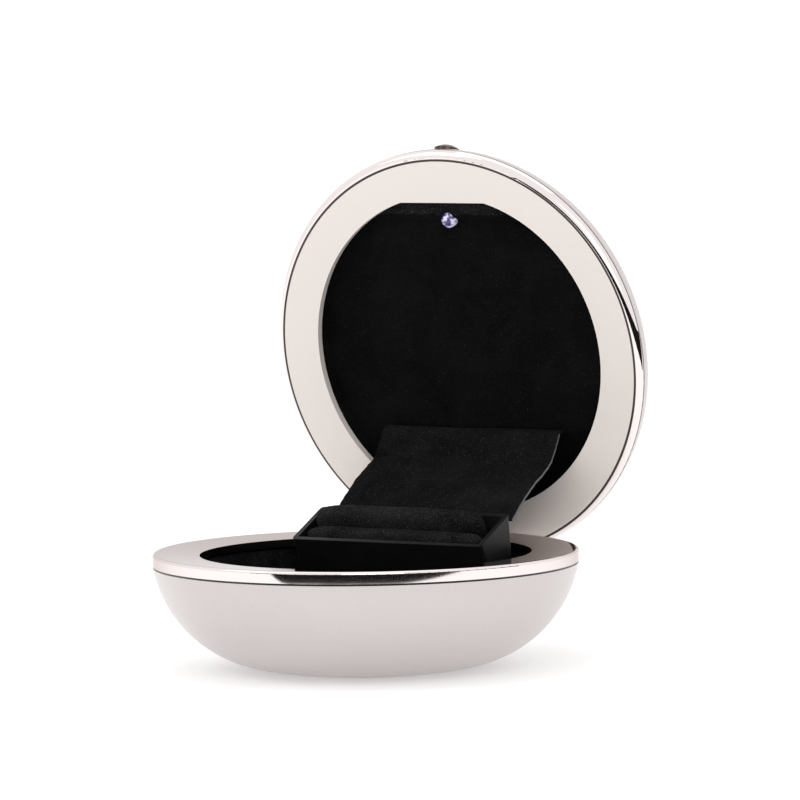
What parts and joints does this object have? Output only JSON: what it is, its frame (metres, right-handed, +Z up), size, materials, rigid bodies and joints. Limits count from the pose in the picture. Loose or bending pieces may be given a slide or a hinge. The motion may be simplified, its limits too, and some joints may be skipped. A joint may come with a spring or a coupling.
{
  "type": "travel jewelry case",
  "caption": "Round clamshell case for a ring: mirror rims, velvet linings, a lamp in the lid, and a tilting ring tray lifted by a strap.",
  "frame": {"origin": "centre of the foot pad's underside, on the surface the case stands on", "axes": "+Z up, -Y towards the front of the case, +Y towards its hinge, X across"},
  "size_m": [0.075, 0.0844, 0.0911],
  "materials": {
    "satin_shell": "pearl rose-champagne lacquer, satin",
    "mirror_rim": "polished rose-silver plating",
    "velvet": "black velvet with a fine sparkle",
    "black_gloss": "gloss black",
    "tray_plastic": "fine satin black",
    "foot_rubber": "matt",
    "steel": "bright",
    "lamp_lens": "clear water-white lens",
    "board_green": "solder mask",
    "bronze_mirror": "polished dark bronze",
    "wire_sleeve": "soft insulation"
  },
  "bodies": {
    "base": {"base_shell": "satin_shell", "base_rim": "mirror_rim", "base_seam_ring": "black_gloss", "base_liner": "velvet", "ballast_plate": "steel", "foot_pad": "foot_rubber", "base_magnets": "steel", "hinge_pin": "steel", "tray_bracket": "tray_plastic", "tray_pin": "steel", "bracket_screws": "steel"},
    "lid": {"lid_rim": "mirror_rim", "lid_shell": "satin_shell", "lid_seam_ring": "black_gloss", "lid_liner": "velvet", "led_lamp": "lamp_lens", "light_board": "board_green", "coin_cell": "steel", "cell_clip": "steel", "light_switch": "tray_plastic", "light_wires": "wire_sleeve", "lid_magnets": "steel", "strap_batten": "velvet"},
    "button": {"push_button": "bronze_mirror"},
    "plunger": {"switch_plunger": "tray_plastic"},
    "tray": {"ring_tray": "tray_plastic", "front_roll": "velvet", "rear_roll": "velvet"},
    "strap_lower": {"strap_lower": "velvet"},
    "strap_upper": {"strap_upper": "velvet"}
  },
  "joints": [
    {"name": "lid_hinge", "type": "hinge", "parent": "base", "child": "lid", "pos_m": [0, 0.0354, 0.0175], "axis": [1, 0, 0], "range_deg": [0, 80]},
    {"name": "tray_fold", "type": "hinge", "parent": "base", "child": "tray", "pos_m": [0, 0.0178, 0.0109], "axis": [1, 0, 0], "range_deg": [0, 60]},
    {"name": "strap_fold_at_tray", "type": "hinge", "parent": "tray", "child": "strap_lower", "pos_m": [0, 0.0186, 0.0257], "axis": [1, 0, 0], "range_deg": [-84, 0]},
    {"name": "strap_fold", "type": "hinge", "parent": "strap_lower", "child": "strap_upper", "pos_m": [0, 0.032, 0.0336], "axis": [1, 0, 0], "range_deg": [0, 145]},
    {"name": "button_press", "type": "slide", "parent": "lid", "child": "button", "axis": [0, -0.3007, -0.9537], "range_m": [0, 0.0005], "stiffness_N_per_m": 400},
    {"name": "plunger_travel", "type": "slide", "parent": "lid", "child": "plunger", "axis": [0, -0.3007, -0.9537], "range_m": [0, 0.0005]}
  ],
  "couplings": [
    {"joint": "tray_fold", "follows": "lid_hinge", "ratio": 0.75},
    {"joint": "strap_fold_at_tray", "follows": "lid_hinge", "ratio": -1.0404},
    {"joint": "strap_fold", "follows": "lid_hinge", "ratio": 1.811},
    {"joint": "plunger_travel", "follows": "button_press", "ratio": 1}
  ]
}
